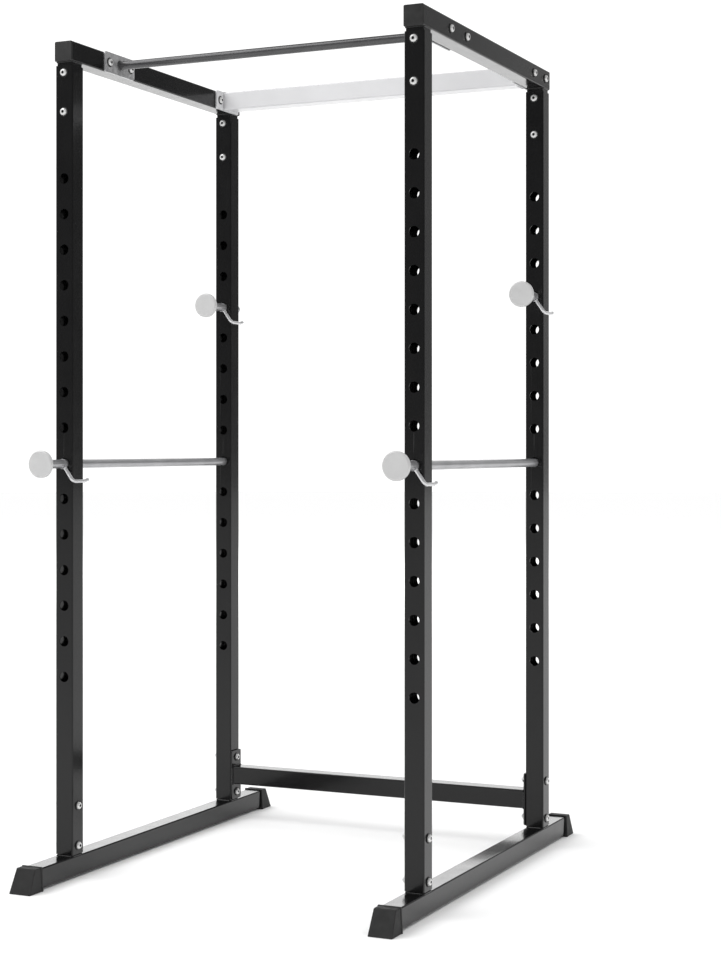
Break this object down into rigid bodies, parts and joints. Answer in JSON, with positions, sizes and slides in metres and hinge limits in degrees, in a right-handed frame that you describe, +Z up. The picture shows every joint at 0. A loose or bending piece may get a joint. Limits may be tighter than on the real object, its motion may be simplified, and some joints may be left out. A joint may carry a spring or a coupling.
{
  "type": "power cage",
  "caption": "Steel power cage: drilled uprights on base rails, top rails, cross-members, a pull-up bar, latched safety bars and latched bar holders.",
  "frame": {"origin": "on the floor, under the middle of the base rails", "axes": "+X to the cage's right, +Y to its back, +Z up"},
  "size_m": [1.0187, 1.2546, 2.0925],
  "materials": {
    "black_paint": "smooth glossy black powder coat",
    "silver_paint": "pale silver-grey paint, satin",
    "grey_paint": "dark metallic grey paint, satin",
    "polished_steel": "plated bright steel rod",
    "satin_steel": "turned and plated, satin",
    "zinc_plate": "bright zinc plate",
    "rubber": "moulded black rubber, matte",
    "black_plastic": "moulded black plastic, fine grain"
  },
  "bodies": {
    "frame": {"left_base_rail": "black_paint", "left_top_rail": "black_paint", "front_left_base_spigot": "black_paint", "rear_left_base_spigot": "black_paint", "right_base_rail": "black_paint", "right_top_rail": "black_paint", "front_right_base_spigot": "black_paint", "rear_right_base_spigot": "black_paint", "front_left_upright": "black_paint", "front_right_upright": "black_paint", "rear_left_upright": "black_paint", "rear_right_upright": "black_paint", "rear_lower_crossmember": "black_paint", "rear_upper_crossmember": "silver_paint", "pull_up_bar": "grey_paint", "front_left_foot": "rubber", "front_left_rail_cap": "black_plastic", "front_left_base_bolt_lower": "zinc_plate", "front_left_top_bolt_lower": "zinc_plate", "front_left_base_bolt_upper": "zinc_plate", "front_left_top_bolt_upper": "zinc_plate", "front_right_foot": "rubber", "front_right_rail_cap": "black_plastic", "front_right_base_bolt_lower": "zinc_plate", "front_right_top_bolt_lower": "zinc_plate", "front_right_base_bolt_upper": "zinc_plate", "front_right_top_bolt_upper": "zinc_plate", "rear_left_foot": "rubber", "rear_left_rail_cap": "black_plastic", "rear_left_base_bolt_lower": "zinc_plate", "rear_left_top_bolt_lower": "zinc_plate", "rear_left_base_bolt_upper": "zinc_plate", "rear_left_top_bolt_upper": "zinc_plate", "rear_right_foot": "rubber", "rear_right_rail_cap": "black_plastic", "rear_right_base_bolt_lower": "zinc_plate", "rear_right_top_bolt_lower": "zinc_plate", "rear_right_base_bolt_upper": "zinc_plate", "rear_right_top_bolt_upper": "zinc_plate", "left_pull_up_bar_bolt_front": "zinc_plate", "left_pull_up_bar_bolt_rear": "zinc_plate", "left_crossmember_bolt_front": "zinc_plate", "left_crossmember_bolt_rear": "zinc_plate", "right_pull_up_bar_bolt_front": "zinc_plate", "right_pull_up_bar_bolt_rear": "zinc_plate", "right_crossmember_bolt_front": "zinc_plate", "right_crossmember_bolt_rear": "zinc_plate"},
    "left_safety_bar": {"left_safety_bar": "polished_steel", "left_safety_bar_knob": "satin_steel"},
    "left_safety_bar_latch": {"left_safety_bar_hook": "polished_steel"},
    "left_bar_holder": {"left_bar_holder": "polished_steel", "left_bar_holder_knob": "satin_steel"},
    "left_bar_holder_latch": {"left_bar_holder_hook": "polished_steel"},
    "right_safety_bar": {"right_safety_bar": "polished_steel", "right_safety_bar_knob": "satin_steel"},
    "right_safety_bar_latch": {"right_safety_bar_hook": "polished_steel"},
    "right_bar_holder": {"right_bar_holder": "polished_steel", "right_bar_holder_knob": "satin_steel"},
    "right_bar_holder_latch": {"right_bar_holder_hook": "polished_steel"}
  },
  "joints": [
    {"name": "left_safety_bar_slide", "type": "slide", "parent": "frame", "child": "left_safety_bar", "axis": [0, -1, 0], "range_m": [0, 0.895]},
    {"name": "left_safety_bar_latch_turn", "type": "hinge", "parent": "left_safety_bar", "child": "left_safety_bar_latch", "pos_m": [-0.475, -0.4398, 1.0357], "axis": [0, -1, 0], "range_deg": [0, 100]},
    {"name": "left_bar_holder_slide", "type": "slide", "parent": "frame", "child": "left_bar_holder", "axis": [0, -1, 0], "range_m": [0, 0.093]},
    {"name": "left_bar_holder_latch_turn", "type": "hinge", "parent": "left_bar_holder", "child": "left_bar_holder_latch", "pos_m": [-0.475, 0.3802, 1.4802], "axis": [0, -1, 0], "range_deg": [0, 100]},
    {"name": "right_safety_bar_slide", "type": "slide", "parent": "frame", "child": "right_safety_bar", "axis": [0, -1, 0], "range_m": [0, 0.895]},
    {"name": "right_safety_bar_latch_turn", "type": "hinge", "parent": "right_safety_bar", "child": "right_safety_bar_latch", "pos_m": [0.475, -0.4398, 1.0357], "axis": [0, -1, 0], "range_deg": [0, 100]},
    {"name": "right_bar_holder_slide", "type": "slide", "parent": "frame", "child": "right_bar_holder", "axis": [0, -1, 0], "range_m": [0, 0.093]},
    {"name": "right_bar_holder_latch_turn", "type": "hinge", "parent": "right_bar_holder", "child": "right_bar_holder_latch", "pos_m": [0.475, 0.3802, 1.4802], "axis": [0, -1, 0], "range_deg": [0, 100]}
  ]
}
